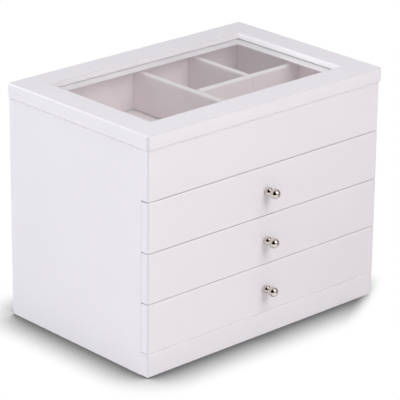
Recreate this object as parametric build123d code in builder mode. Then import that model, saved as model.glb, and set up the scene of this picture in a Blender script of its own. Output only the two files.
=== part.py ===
from build123d import *
import os
from math import sqrt

os.makedirs("parts", exist_ok=True)

# A jewelry box with a glazed lid over a lined tray, and three drawers under it.
# Sizes are millimetres. X runs along the front, Y towards the back and Z up from the table.
# The origin is on the table, under the middle of the case.

# Case boards
case_width = 286.0
case_depth = 190.0
side_t = 9.0
back_t = 9.0
front_t = 9.0
base_t = 6.0
shelf_t = 3.0
tray_board_t = 5.0
housing_depth = 3.0
corner_r = 1.2
edge_ease = 0.6
felt_t = 1.0
felt_inset = 4.0

# Fronts, from the table up
front_gap = 0.8
plinth_height = 21.6
drawer_front_height = 47.0
upper_front_height = 46.8
drawer_count = 3

# Lined tray
tray_depth = 44.0
lining_t = 2.0
tray_pad_t = 1.8
lining_rim_drop = 3.0
lining_ease = 0.8
divider_t = 7.0
divider_height = 38.9
divider_ease = 1.6
left_bin_width = 129.5
right_bin_width = 58.5
front_bin_depth = 83.0

# Drawer boxes
drawer_stand_off = 0.3
drawer_side_gap = 0.5
drawer_run_gap = 0.3
runner_rise = 1.0
drawer_side_t = 6.0
drawer_headroom = 3.5
drawer_back_t = 6.0
drawer_rear_gap = 4.0
drawer_housing = 3.0
drawer_back_rabbet = 2.0
drawer_bottom_t = 3.0
drawer_bottom_rise = 3.0
drawer_groove = 2.5
drawer_lining_t = 1.5
drawer_lining_drop = 1.5
drawer_rim_ease = 1.0

# Knobs
knob_rear_r = 4.2
knob_rear_centre = 2.4
knob_neck_r = 2.4
knob_neck_length = 0.4
knob_front_r = 4.9
knob_screw_r = 1.5
knob_screw_play = 0.2
knob_screw_bite = 5.5
knob_screw_head_r = 3.0
knob_screw_head_t = 1.7
knob_head_sink = 2.0
knob_head_play = 0.3
knob_head_ease = 0.5

# Lid
lid_gap = 0.8
lid_t = 14.0
lid_overhang = 1.5
lid_member_w = 27.0
lid_corner_r = 2.5
lid_outer_ease = 1.2
lid_inner_ease = 0.5
glass_t = 3.0
glass_play = 0.2
glass_groove = 6.0
glass_edge_play = 0.5
glass_arris = 0.3
bumper_r = 3.0
bumper_t = 0.5
bumper_from_side = 18.0

# Hinges
hinge_from_side = 53.0
hinge_length = 30.0
leaf_t = 1.0
leaf_width = 8.5
knuckle_r = 2.2
knuckle_stand_off = 0.4
knuckle_gap = 0.3
hinge_pin_r = 0.9
hinge_pin_play = 0.05
hinge_pin_ease = 0.2
hinge_open_angle = 95.0
stop_tail_reach = 5.0
hinge_screw_x = 9.5
hinge_screw_inset = 4.2
hinge_screw_r = 0.8
hinge_screw_head_r = 1.6
hinge_screw_head_t = 0.8
hinge_screw_length = 7.0

# Levels
case_bottom_z = felt_t
plinth_top_z = case_bottom_z + plinth_height
drawer_pitch = drawer_front_height + front_gap
drawer_side_height = drawer_pitch - shelf_t - drawer_run_gap - drawer_headroom
upper_front_z = plinth_top_z + front_gap + drawer_count * drawer_pitch
case_top_z = upper_front_z + upper_front_height
case_height = case_top_z - case_bottom_z
lid_bottom_z = case_top_z + lid_gap
tray_board_top_z = case_top_z - tray_depth
tray_floor_z = tray_board_top_z + tray_pad_t
lining_height = case_top_z - lining_rim_drop - tray_floor_z

# Planes of the case in plan
half_width = case_width / 2
front_y = -case_depth / 2
back_y = case_depth / 2
inner_x = half_width - side_t
side_front_y = front_y + front_t
back_inner_y = back_y - back_t
inner_depth = back_inner_y - side_front_y
inner_mid_y = (back_inner_y + side_front_y) / 2
housed_x = inner_x + housing_depth
lined_x = inner_x - lining_t
lined_front_y = side_front_y + lining_t
lined_back_y = back_inner_y - lining_t

# Hinge places
hinge_axis_y = back_y + knuckle_stand_off + knuckle_r
hinge_axis_z = case_top_z + lid_gap / 2
knuckle_length = (hinge_length - 2 * knuckle_gap) / 3
knuckle_bore_r = hinge_pin_r + hinge_pin_play
screw_y = back_y - hinge_screw_inset
hinge_x = half_width - hinge_from_side
hinge_places = {"left": -hinge_x, "right": hinge_x}
hinge_screw_xs = [x + end * hinge_screw_x for x in hinge_places.values() for end in (-1, 1)]


def save(piece, name):
    """Name a finished piece and write it out."""
    piece.part.label = name
    export_step(piece.part, f"parts/{name}.step")


def front_level(number):
    """Lower edge of a drawer's front. Drawer 1 is the highest."""
    return plinth_top_z + front_gap + (drawer_count - number) * drawer_pitch


def shelf_level(number):
    """Upper face of the shelf that a drawer runs on."""
    return front_level(number) + runner_rise


# The boards that are let into both sides, each as a name, its underside and its thickness
housed_boards = [("base_board", case_bottom_z, base_t)]
housed_boards += [
    (f"shelf_{number}", shelf_level(number) - shelf_t, shelf_t) for number in range(1, drawer_count + 1)
]
housed_boards += [("tray_floor", tray_board_top_z - tray_board_t, tray_board_t)]

# Left side: a rounded rear corner, a rabbet for the back and a housing for each board
with BuildPart() as left_side:
    with BuildSketch(Plane.XY.offset(case_bottom_z)) as side_plan:
        with Locations((-half_width, side_front_y)):
            Rectangle(side_t, back_y - side_front_y, align=(Align.MIN, Align.MIN))
        fillet(side_plan.vertices().group_by(Axis.Y)[-1].sort_by(Axis.X)[0], radius=corner_r)
        with Locations((-housed_x, back_y)):
            Rectangle(housing_depth, back_t, align=(Align.MIN, Align.MAX), mode=Mode.SUBTRACT)
    extrude(amount=case_height)
    with BuildSketch(Plane.YZ.offset(-inner_x)):
        for board, underside, thickness in housed_boards:
            with Locations((inner_mid_y, underside)):
                Rectangle(inner_depth, thickness, align=(Align.CENTER, Align.MIN))
    extrude(amount=-housing_depth, mode=Mode.SUBTRACT)
    top_edges = left_side.faces().sort_by(Axis.Z)[-1].edges()
    fillet(top_edges.sort_by(Axis.X)[:2], radius=edge_ease)
save(left_side, "left_side")

with BuildPart() as right_side:
    mirror(left_side.part, about=Plane.YZ)
save(right_side, "right_side")

# Base board, drawer shelves and tray board run from housing to housing
for board, underside, thickness in housed_boards:
    with BuildPart() as cross_board:
        with BuildSketch(Plane.XY.offset(underside)):
            with Locations((0, inner_mid_y)):
                Rectangle(2 * housed_x, inner_depth)
        extrude(amount=thickness)
    save(cross_board, board)

# Back panel, with a mortise and two pilot holes for each hinge in its top edge
with BuildPart() as back_panel:
    with BuildSketch(Plane.XY.offset(case_bottom_z)):
        with Locations((0, back_y)):
            Rectangle(2 * housed_x, back_t, align=(Align.CENTER, Align.MAX))
    extrude(amount=case_height)
    with BuildSketch(Plane.XY.offset(case_top_z)):
        with Locations(*[(x, back_y) for x in hinge_places.values()]):
            Rectangle(hinge_length, leaf_width, align=(Align.CENTER, Align.MAX))
    extrude(amount=-leaf_t, mode=Mode.SUBTRACT)
    with Locations(*[(x, screw_y, case_top_z) for x in hinge_screw_xs]):
        Hole(radius=hinge_screw_r, depth=hinge_screw_length)
save(back_panel, "back_panel")


def front_board(underside, height, face_y):
    """A board across the whole front, with rounded outer corners and eased face edges."""
    with BuildPart() as board:
        with BuildSketch(Plane.XY.offset(underside)) as plan:
            with Locations((0, face_y)):
                Rectangle(case_width, front_t, align=(Align.CENTER, Align.MIN))
            fillet(plan.vertices().group_by(Axis.Y)[0], radius=corner_r)
        extrude(amount=height)
        ends = [board.faces().sort_by(Axis.Z)[0], board.faces().sort_by(Axis.Z)[-1]]
        fillet([edge for end in ends for edge in end.edges().sort_by(Axis.Y)[:-1]], radius=edge_ease)
    return board


save(front_board(case_bottom_z, plinth_height, front_y), "plinth_front")
save(front_board(upper_front_z, upper_front_height, front_y), "upper_front")

# Felt under the whole base
with BuildPart() as base_felt:
    with BuildSketch():
        RectangleRounded(case_width - 2 * felt_inset, case_depth - 2 * felt_inset, corner_r)
    extrude(amount=felt_t)
save(base_felt, "base_felt")

# Velvet lining of the tray: a pad on the floor and a wrapped board on each wall
with BuildPart() as tray_lining_floor:
    with BuildSketch(Plane.XY.offset(tray_board_top_z)):
        with Locations((0, inner_mid_y)):
            Rectangle(2 * inner_x, inner_depth)
    extrude(amount=tray_pad_t)
save(tray_lining_floor, "tray_lining_floor")


lining_round = min(lining_ease, 0.45 * lining_t)


def lining_board(x_size, y_size, x, y):
    """A wrapped board that stands on the tray's pad, soft along its top edges."""
    with BuildPart() as lining:
        with BuildSketch(Plane.XY.offset(tray_floor_z)):
            with Locations((x, y)):
                Rectangle(x_size, y_size)
        extrude(amount=lining_height)
        rim = lining.faces().sort_by(Axis.Z)[-1].edges()
        long_axis = Axis.X if x_size > y_size else Axis.Y
        fillet(rim.filter_by(long_axis), radius=lining_round)
    return lining


lining_mid = lining_t / 2
side_lining_depth = inner_depth - 2 * lining_t
save(lining_board(2 * inner_x, lining_t, 0, side_front_y + lining_mid), "tray_lining_front")
save(lining_board(2 * inner_x, lining_t, 0, back_inner_y - lining_mid), "tray_lining_back")
save(lining_board(lining_t, side_lining_depth, lining_mid - inner_x, inner_mid_y), "tray_lining_left")
save(lining_board(lining_t, side_lining_depth, inner_x - lining_mid, inner_mid_y), "tray_lining_right")


def divider(low, high):
    """A velvet-covered divider between two corners in plan, with a round top edge."""
    x_size, y_size = high[0] - low[0], high[1] - low[1]
    with BuildPart() as wall:
        with BuildSketch(Plane.XY.offset(tray_floor_z)):
            with Locations(low):
                Rectangle(x_size, y_size, align=(Align.MIN, Align.MIN))
        extrude(amount=divider_height)
        rim = wall.faces().sort_by(Axis.Z)[-1].edges()
        long_axis = Axis.X if x_size > y_size else Axis.Y
        fillet(rim.filter_by(long_axis), radius=divider_ease)
    return wall


long_left_x = left_bin_width - lined_x
long_right_x = long_left_x + divider_t
cross_front_y = lined_front_y + front_bin_depth
cross_back_y = cross_front_y + divider_t
short_right_x = lined_x - right_bin_width
divider_long = divider((long_left_x, lined_front_y), (long_right_x, lined_back_y))
divider_cross = divider((long_right_x, cross_front_y), (lined_x, cross_back_y))
divider_short = divider((short_right_x - divider_t, cross_back_y), (short_right_x, lined_back_y))
save(divider_long, "divider_long")
save(divider_cross, "divider_cross")
save(divider_short, "divider_short")

# Drawers: planes that all of them share
drawer_face_y = front_y - drawer_stand_off
drawer_joint_y = drawer_face_y + front_t
drawer_rear_y = back_inner_y - drawer_rear_gap
drawer_outer_x = inner_x - drawer_side_gap
drawer_inner_x = drawer_outer_x - drawer_side_t
drawer_back_y = drawer_rear_y - drawer_back_t
drawer_box_rise = runner_rise + drawer_run_gap
knob_hole_r = knob_screw_r + knob_screw_play
knob_head_hole_r = knob_screw_head_r + knob_head_play
knob_foot_r = sqrt(knob_rear_r**2 - knob_rear_centre**2)
knob_neck_start = knob_rear_centre + sqrt(knob_rear_r**2 - knob_neck_r**2)
knob_neck_end = knob_neck_start + knob_neck_length
knob_front_centre = knob_neck_end + sqrt(knob_front_r**2 - knob_neck_r**2)
knob_tip = knob_front_centre + knob_front_r

for number in range(1, drawer_count + 1):
    name = f"drawer_{number}"
    front_z = front_level(number)
    box_z = front_z + drawer_box_rise
    bottom_z = box_z + drawer_bottom_rise
    bottom_top_z = bottom_z + drawer_bottom_t
    knob_z = front_z + drawer_front_height / 2
    screw_head_y = drawer_joint_y - knob_head_sink
    knob_plane = Plane(origin=(0, drawer_face_y, knob_z), x_dir=(0, -1, 0), z_dir=(1, 0, 0))
    knob_axis = Axis((0, drawer_face_y, knob_z), (0, -1, 0))

    # Front: housed behind for the two sides, grooved for the bottom, bored for the knob's screw
    blank = front_board(front_z, drawer_front_height, drawer_face_y)
    with BuildPart() as drawer_front:
        add(blank.part)
        with BuildSketch(Plane.XZ.offset(-drawer_joint_y)):
            for side in (-1, 1):
                with Locations((side * (drawer_outer_x - drawer_side_t / 2), box_z)):
                    Rectangle(drawer_side_t, drawer_side_height, align=(Align.CENTER, Align.MIN))
        extrude(amount=drawer_housing, mode=Mode.SUBTRACT)
        with BuildSketch(Plane.XZ.offset(-drawer_joint_y)):
            with Locations((0, bottom_z)):
                Rectangle(2 * drawer_inner_x, drawer_bottom_t, align=(Align.CENTER, Align.MIN))
        extrude(amount=drawer_groove, mode=Mode.SUBTRACT)
        with Locations(Plane(origin=(0, drawer_joint_y, knob_z), x_dir=(1, 0, 0), z_dir=(0, 1, 0))):
            CounterBoreHole(
                radius=knob_hole_r, counter_bore_radius=knob_head_hole_r, counter_bore_depth=knob_head_sink
            )
    save(drawer_front, f"{name}_front")

    # Left side: its front end in the housing, a groove for the bottom, a rabbet for the back
    with BuildPart() as drawer_side_left:
        with BuildSketch(Plane.YZ.offset(-drawer_outer_x)):
            with Locations((drawer_joint_y - drawer_housing, box_z)):
                Rectangle(
                    drawer_rear_y - drawer_joint_y + drawer_housing,
                    drawer_side_height,
                    align=(Align.MIN, Align.MIN),
                )
        extrude(amount=drawer_side_t)
        with BuildSketch(Plane.YZ.offset(-drawer_inner_x)):
            with Locations((drawer_joint_y - drawer_groove, bottom_z)):
                Rectangle(
                    drawer_rear_y - drawer_joint_y + drawer_groove,
                    drawer_bottom_t,
                    align=(Align.MIN, Align.MIN),
                )
        extrude(amount=-drawer_groove, mode=Mode.SUBTRACT)
        with BuildSketch(Plane.YZ.offset(-drawer_inner_x)):
            with Locations((drawer_back_y, bottom_top_z)):
                Rectangle(
                    drawer_back_t,
                    drawer_side_height - drawer_bottom_rise - drawer_bottom_t,
                    align=(Align.MIN, Align.MIN),
                )
        extrude(amount=-drawer_back_rabbet, mode=Mode.SUBTRACT)
    save(drawer_side_left, f"{name}_side_left")

    with BuildPart() as drawer_side_right:
        mirror(drawer_side_left.part, about=Plane.YZ)
    save(drawer_side_right, f"{name}_side_right")

    # Back: stands on the bottom, which slides in under it
    with BuildPart() as drawer_back:
        with BuildSketch(Plane.XY.offset(bottom_top_z)):
            with Locations((0, drawer_back_y)):
                back_width = 2 * (drawer_inner_x + drawer_back_rabbet)
                Rectangle(back_width, drawer_back_t, align=(Align.CENTER, Align.MIN))
        extrude(amount=drawer_side_height - drawer_bottom_rise - drawer_bottom_t)
    save(drawer_back, f"{name}_back")

    # Bottom: a thin panel in the grooves, narrower where it enters the front
    with BuildPart() as drawer_bottom:
        with BuildSketch(Plane.XY.offset(bottom_z)):
            with Locations((0, drawer_joint_y)):
                Rectangle(
                    2 * (drawer_inner_x + drawer_groove),
                    drawer_rear_y - drawer_joint_y,
                    align=(Align.CENTER, Align.MIN),
                )
            with Locations((0, drawer_joint_y - drawer_groove)):
                Rectangle(2 * drawer_inner_x, drawer_groove, align=(Align.CENTER, Align.MIN))
        extrude(amount=drawer_bottom_t)
    save(drawer_bottom, f"{name}_bottom")

    # Velvet lining: one open tray that covers the floor and the four walls
    lining_depth = drawer_back_y - drawer_joint_y
    lining_box_height = drawer_side_height - drawer_bottom_rise - drawer_bottom_t - drawer_lining_drop
    with BuildPart() as drawer_lining:
        with BuildSketch(Plane.XY.offset(bottom_top_z)):
            with Locations((0, drawer_joint_y)):
                Rectangle(2 * drawer_inner_x, lining_depth, align=(Align.CENTER, Align.MIN))
        extrude(amount=lining_box_height)
        offset(amount=-drawer_lining_t, openings=drawer_lining.faces().sort_by(Axis.Z)[-1])
        mouth = drawer_lining.faces().sort_by(Axis.Z)[-1].inner_wires()[0]
        fillet(mouth.edges(), radius=drawer_rim_ease)
    save(drawer_lining, f"{name}_lining")

    # Knob: a small ball against the front, a neck and a larger ball, tapped from behind
    with BuildPart() as knob:
        with BuildSketch(knob_plane):
            with BuildLine():
                ThreePointArc(
                    (0, knob_foot_r), (knob_rear_centre, knob_rear_r), (knob_neck_start, knob_neck_r)
                )
                Line((knob_neck_start, knob_neck_r), (knob_neck_end, knob_neck_r))
                ThreePointArc(
                    (knob_neck_end, knob_neck_r), (knob_front_centre, knob_front_r), (knob_tip, 0)
                )
                Polyline((knob_tip, 0), (0, 0), (0, knob_foot_r))
            make_face()
        revolve(axis=knob_axis)
        with BuildSketch(Plane.XZ.offset(-drawer_face_y)):
            with Locations((0, knob_z)):
                Circle(knob_screw_r)
        extrude(amount=knob_screw_bite, mode=Mode.SUBTRACT)
    save(knob, f"{name}_knob")

    # Screw: its head sunk behind the front, its shank through the front and into the knob
    with BuildPart() as knob_screw:
        with BuildSketch(Plane.XZ.offset(-screw_head_y)):
            with Locations((0, knob_z)):
                Circle(knob_screw_r)
        extrude(amount=screw_head_y - drawer_face_y + knob_screw_bite)
        with BuildSketch(Plane.XZ.offset(-screw_head_y)):
            with Locations((0, knob_z)):
                Circle(knob_screw_head_r)
        extrude(amount=-knob_screw_head_t)
        head_rim = knob_screw.faces().sort_by(Axis.Y)[-1].edges()
        fillet(head_rim, radius=knob_head_ease)
    save(knob_screw, f"{name}_knob_screw")

# Lid frame in one piece, before it is cut at its mitres
lid_half_width = half_width + lid_overhang
lid_front_y = front_y - lid_overhang
lid_depth = back_y - lid_front_y
lid_mid_y = (back_y + lid_front_y) / 2
lid_open_width = 2 * (lid_half_width - lid_member_w)
lid_open_depth = lid_depth - 2 * lid_member_w
glass_bottom_z = lid_bottom_z + (lid_t - glass_t) / 2

with BuildPart() as lid_blank:
    with BuildSketch(Plane.XY.offset(lid_bottom_z)):
        with Locations((0, lid_mid_y)):
            RectangleRounded(2 * lid_half_width, lid_depth, lid_corner_r)
            Rectangle(lid_open_width, lid_open_depth, mode=Mode.SUBTRACT)
    extrude(amount=lid_t)
    lid_faces = [lid_blank.faces().sort_by(Axis.Z)[0], lid_blank.faces().sort_by(Axis.Z)[-1]]
    outer_edges = [edge for face in lid_faces for edge in face.outer_wire().edges()]
    inner_edges = [edge for face in lid_faces for edge in face.inner_wires()[0].edges()]
    fillet(outer_edges, radius=lid_outer_ease)
    fillet(inner_edges, radius=lid_inner_ease)
    with BuildSketch(Plane.XY.offset(glass_bottom_z)):
        with Locations((0, lid_mid_y)):
            Rectangle(lid_open_width + 2 * glass_groove, lid_open_depth + 2 * glass_groove)
    extrude(amount=glass_t + glass_play, mode=Mode.SUBTRACT)


def lid_member(corner, far_corner):
    """The piece of the frame between two outer corners, cut at 45 degrees at each."""
    start, end = Vector(*corner), Vector(*far_corner)
    inward = (end - start).rotate(Axis.Z, 90) / 2
    with BuildPart() as member:
        add(lid_blank.part)
        with BuildSketch(Plane.XY.offset(lid_bottom_z)):
            with BuildLine():
                Polyline(start, end, (start + end) / 2 + inward, close=True)
            make_face()
        extrude(amount=lid_t, mode=Mode.INTERSECT)
    return member


front_left = (-lid_half_width, lid_front_y)
front_right = (lid_half_width, lid_front_y)
back_right = (lid_half_width, back_y)
back_left = (-lid_half_width, back_y)
save(lid_member(front_left, front_right), "lid_rail_front")
save(lid_member(front_right, back_right), "lid_stile_right")
save(lid_member(back_left, front_left), "lid_stile_left")

# Back rail: a mortise and two pilot holes for each hinge in its underside
rail_blank = lid_member(back_right, back_left)
with BuildPart() as lid_rail_back:
    add(rail_blank.part)
    with BuildSketch(Plane.XY.offset(lid_bottom_z)):
        with Locations(*[(x, back_y) for x in hinge_places.values()]):
            Rectangle(hinge_length, leaf_width, align=(Align.CENTER, Align.MAX))
    extrude(amount=leaf_t, mode=Mode.SUBTRACT)
    with BuildSketch(Plane.XY.offset(lid_bottom_z)):
        with Locations(*[(x, screw_y) for x in hinge_screw_xs]):
            Circle(hinge_screw_r)
    extrude(amount=hinge_screw_length, mode=Mode.SUBTRACT)
save(lid_rail_back, "lid_rail_back")

# Clear glass, held in the groove on all four sides
with BuildPart() as lid_glass:
    with BuildSketch(Plane.XY.offset(glass_bottom_z)):
        with Locations((0, lid_mid_y)):
            Rectangle(
                lid_open_width + 2 * (glass_groove - glass_edge_play),
                lid_open_depth + 2 * (glass_groove - glass_edge_play),
            )
    extrude(amount=glass_t)
    chamfer(lid_glass.edges(), length=glass_arris)
save(lid_glass, "lid_glass")

# Two clear bumpers under the front rail, which meet the case's front board
with BuildPart() as lid_bumpers:
    bumper_x = half_width - bumper_from_side
    with BuildSketch(Plane.XY.offset(lid_bottom_z)):
        with Locations(*[(side * bumper_x, front_y + front_t / 2) for side in (-1, 1)]):
            Circle(bumper_r)
    extrude(amount=-bumper_t)
save(lid_bumpers, "lid_bumpers")


def knuckle_section(x, web_z, bore_r, tail):
    """A knuckle's section on the plane at x: barrel, web to its leaf and, on the lid, the stop tail."""
    across = Plane(origin=(x, hinge_axis_y, hinge_axis_z), x_dir=(0, 1, 0), z_dir=(1, 0, 0))
    with BuildSketch(across) as section:
        Circle(knuckle_r)
        with Locations((0, web_z)):
            Rectangle(knuckle_r + knuckle_stand_off, leaf_t, align=(Align.MAX, Align.CENTER))
        if tail:
            with PolarLocations(knuckle_r - leaf_t / 2, 1, start_angle=180 + hinge_open_angle):
                Rectangle(leaf_t, stop_tail_reach, align=(Align.CENTER, Align.MIN))
        Circle(bore_r, mode=Mode.SUBTRACT)
    return section


leaf_web_z = (lid_gap + leaf_t) / 2
for side, x in hinge_places.items():
    case_knuckle_xs = [x - hinge_length / 2, x + hinge_length / 2 - knuckle_length]

    # Case leaf: the plate let into the back panel and the two outer knuckles, which grip the pin
    with BuildPart() as case_leaf:
        with BuildSketch(Plane.XY.offset(case_top_z)):
            with Locations((x, back_y)):
                Rectangle(hinge_length, leaf_width, align=(Align.CENTER, Align.MAX))
        extrude(amount=-leaf_t)
        for knuckle_x in case_knuckle_xs:
            section = knuckle_section(knuckle_x, -leaf_web_z, hinge_pin_r, tail=False)
            add(extrude(section.sketch, amount=knuckle_length, mode=Mode.PRIVATE))
        with Locations(*[(x + end * hinge_screw_x, screw_y, case_top_z) for end in (-1, 1)]):
            CounterSinkHole(radius=hinge_screw_r, counter_sink_radius=hinge_screw_head_r, depth=leaf_t)
    save(case_leaf, f"hinge_{side}_case_leaf")

    # Lid leaf: the plate under the back rail and the middle knuckle, which turns on the pin
    with BuildPart() as lid_leaf:
        with BuildSketch(Plane.XY.offset(lid_bottom_z)):
            with Locations((x, back_y)):
                Rectangle(hinge_length, leaf_width, align=(Align.CENTER, Align.MAX))
        extrude(amount=leaf_t)
        section = knuckle_section(x - knuckle_length / 2, leaf_web_z, knuckle_bore_r, tail=True)
        add(extrude(section.sketch, amount=knuckle_length, mode=Mode.PRIVATE))
        under_lid = [(x + end * hinge_screw_x, screw_y, lid_bottom_z) for end in (-1, 1)]
        with Locations(*[Plane(origin=place, z_dir=(0, 0, -1)) for place in under_lid]):
            CounterSinkHole(radius=hinge_screw_r, counter_sink_radius=hinge_screw_head_r, depth=leaf_t)
    save(lid_leaf, f"hinge_{side}_lid_leaf")

    with BuildPart() as hinge_pin:
        with BuildSketch(Plane(origin=(x - hinge_length / 2, hinge_axis_y, hinge_axis_z), z_dir=(1, 0, 0))):
            Circle(hinge_pin_r)
        extrude(amount=hinge_length)
        chamfer(hinge_pin.edges().filter_by(GeomType.CIRCLE), length=hinge_pin_ease)
    save(hinge_pin, f"hinge_{side}_pin")


def hinge_screws(head_z, towards):
    """Four countersunk screws with their heads flush at head_z, pointing up or down."""
    with BuildPart() as screws:
        for x in hinge_screw_xs:
            with BuildSketch(Plane(origin=(x, screw_y, head_z), x_dir=(1, 0, 0), z_dir=(0, -1, 0))):
                with BuildLine():
                    Polyline(
                        (0, 0),
                        (hinge_screw_head_r, 0),
                        (hinge_screw_r, towards * hinge_screw_head_t),
                        (hinge_screw_r, towards * (hinge_screw_length - hinge_screw_r)),
                        (0, towards * hinge_screw_length),
                        close=True,
                    )
                make_face()
            revolve(axis=Axis((x, screw_y, head_z), (0, 0, 1)))
    return screws


save(hinge_screws(case_top_z, -1), "hinge_screws_case")
save(hinge_screws(lid_bottom_z, 1), "hinge_screws_lid")
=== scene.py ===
# %% [markdown]
# # A white jewelry box with a glass lid
# The box comes in as a finished CAD model. Its boards, hinges and glass keep their meshes and get finishes
# here. The soft parts and the knobs are modelled anew, because fabric and polished metal need finer shapes.

# %% Load the CAD model
import math

import bmesh
import bpy
from mathutils import Matrix, Quaternion, Vector, noise


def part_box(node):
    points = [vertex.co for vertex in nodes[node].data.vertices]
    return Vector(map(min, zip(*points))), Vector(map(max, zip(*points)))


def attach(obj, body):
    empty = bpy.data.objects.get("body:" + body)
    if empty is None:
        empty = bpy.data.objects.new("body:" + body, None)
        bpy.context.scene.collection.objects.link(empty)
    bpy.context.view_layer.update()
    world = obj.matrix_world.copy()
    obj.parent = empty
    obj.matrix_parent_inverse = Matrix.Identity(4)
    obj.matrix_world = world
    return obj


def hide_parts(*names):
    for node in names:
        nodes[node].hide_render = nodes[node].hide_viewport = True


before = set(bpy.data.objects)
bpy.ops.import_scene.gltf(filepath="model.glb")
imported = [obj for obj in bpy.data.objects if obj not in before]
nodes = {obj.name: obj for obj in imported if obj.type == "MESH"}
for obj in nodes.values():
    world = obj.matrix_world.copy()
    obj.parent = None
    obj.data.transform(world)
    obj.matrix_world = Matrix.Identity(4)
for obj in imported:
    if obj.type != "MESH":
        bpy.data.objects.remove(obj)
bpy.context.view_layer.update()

MM = 0.001

# %% [markdown]
# ## The camera
# The photograph looks at the front-left corner from a little above. A long lens a good two metres away keeps
# the box's upright edges nearly parallel. The angles below came from the box's own edges in the photograph. The
# Standard view shows a colour as it is written, where Blender's usual view would soften it.

# %% Camera
view_azimuth = math.radians(-43.05)
view_elevation = math.radians(21.18)
view_roll = math.radians(0.674)
camera_place = Vector((-1440.94, -1554.35, 927.85)) * MM
lens_mm = 219.54
shift_across, shift_up = -0.0091, -0.0021

towards_camera = Vector(
    (
        math.sin(view_azimuth) * math.cos(view_elevation),
        -math.cos(view_azimuth) * math.cos(view_elevation),
        math.sin(view_elevation),
    )
)
camera = bpy.data.objects.new("camera", bpy.data.cameras.new("camera"))
camera.data.sensor_width = 36
camera.data.lens = lens_mm
camera.data.shift_x, camera.data.shift_y = shift_across, shift_up
camera.data.clip_end = 20
camera.location = camera_place
camera.rotation_mode = "QUATERNION"
camera.rotation_quaternion = (-towards_camera).to_track_quat("-Z", "Y") @ Quaternion((0, 0, 1), view_roll)
bpy.context.scene.collection.objects.link(camera)
bpy.context.scene.camera = camera
bpy.context.scene.view_settings.view_transform = "Standard"
print("camera is", round(camera_place.length, 2), "m from the box's foot")

# %% [markdown]
# ## Helpers for materials
# Blender's sockets want linear colour, while a colour given in hex is sRGB, so one function turns hex into
# linear. Another adds a node, sets it up and links it, which keeps each material short enough to read.

# %% Material helpers


def linear(hex_colour):
    """An sRGB hex colour as linear RGBA."""
    channels = [int(hex_colour[i : i + 2], 16) / 255 for i in (1, 3, 5)]
    return [c / 12.92 if c <= 0.04045 else ((c + 0.055) / 1.055) ** 2.4 for c in channels] + [1.0]


def add_node(tree, kind, settings=None, inputs=None):
    """Add a node, give it its settings, and set or link its inputs. A node stands for its first output."""
    node = tree.nodes.new(kind)
    for name, value in (settings or {}).items():
        setattr(node, name, value)
    for key, value in (inputs or {}).items():
        if isinstance(value, bpy.types.Node):
            value = value.outputs[0]
        if isinstance(value, bpy.types.NodeSocket):
            tree.links.new(value, node.inputs[key])
        else:
            node.inputs[key].default_value = value
    return node


def new_material(name):
    """An empty node material and its tree."""
    material = bpy.data.materials.new(name)
    material.use_nodes = True
    material.node_tree.nodes.clear()
    return material, material.node_tree


MIX_A, MIX_B, MIX_OUT = 6, 7, 2  # the colour sockets of a Mix node
print("linear mid grey:", [round(c, 3) for c in linear("#808080")[:3]])

# %% [markdown]
# ## White lacquer
# The boards are fibreboard, sprayed with several coats of white lacquer and rubbed down to a satin sheen. The
# eye gets a soft, even highlight, with a very fine orange peel in it and clouds of white too faint to name.
# Noise in the colour makes the clouds, and a finer noise moves the roughness and the bump.

# %% Lacquer: clouds and orange peel
cloud_size = 70 * MM
peel_size = 2.4 * MM
peel_height = 0.02 * MM

white_lacquer, tree = new_material("white_lacquer_on_fibreboard")
place = add_node(tree, "ShaderNodeTexCoord").outputs["Object"]
place_parts = add_node(tree, "ShaderNodeSeparateXYZ", inputs={"Vector": place})
normal = add_node(tree, "ShaderNodeTexCoord").outputs["Normal"]
normal_parts = add_node(tree, "ShaderNodeSeparateXYZ", inputs={"Vector": normal})
clouds = add_node(
    tree, "ShaderNodeTexNoise", inputs={"Vector": place, "Scale": 1 / cloud_size, "Detail": 3.0, "Roughness": 0.5}
)
cloudy_white = add_node(
    tree,
    "ShaderNodeMix",
    {"data_type": "RGBA"},
    {"Factor": clouds, MIX_A: linear("#F0ECEF"), MIX_B: linear("#ECE8EB")},
)
peel = add_node(
    tree, "ShaderNodeTexNoise", inputs={"Vector": place, "Scale": 1 / peel_size, "Detail": 2.0, "Roughness": 0.4}
)
lacquer_gloss = add_node(tree, "ShaderNodeMapRange", inputs={"Value": peel, "To Min": 0.36, "To Max": 0.46})
peel_bump = add_node(tree, "ShaderNodeBump", inputs={"Strength": 0.35, "Distance": peel_height, "Height": peel})
print("clouds of", round(cloud_size / MM), "mm and a peel of", round(peel_size / MM, 1), "mm")

# %% [markdown]
# ## Edges and walls of the lacquer
# The rounded upright edges and the lid's rim are drawn a shade greyer: painted shade, which stands in for the dark
# line at a corner and dulls the highlights on the edges.
# Painting each edge by hand would be slow. A slanted normal finds them all: on an edge two of its parts are
# large at once, so their product is too. The rim's left side is kept apart, because there a highlight wins. Two
# walls of the lid's opening are found by their place and direction, for the cells below.

# %% Lacquer: upright edges and the lid's rim
rim_level = 226 * MM
left_slant = -0.25

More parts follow.
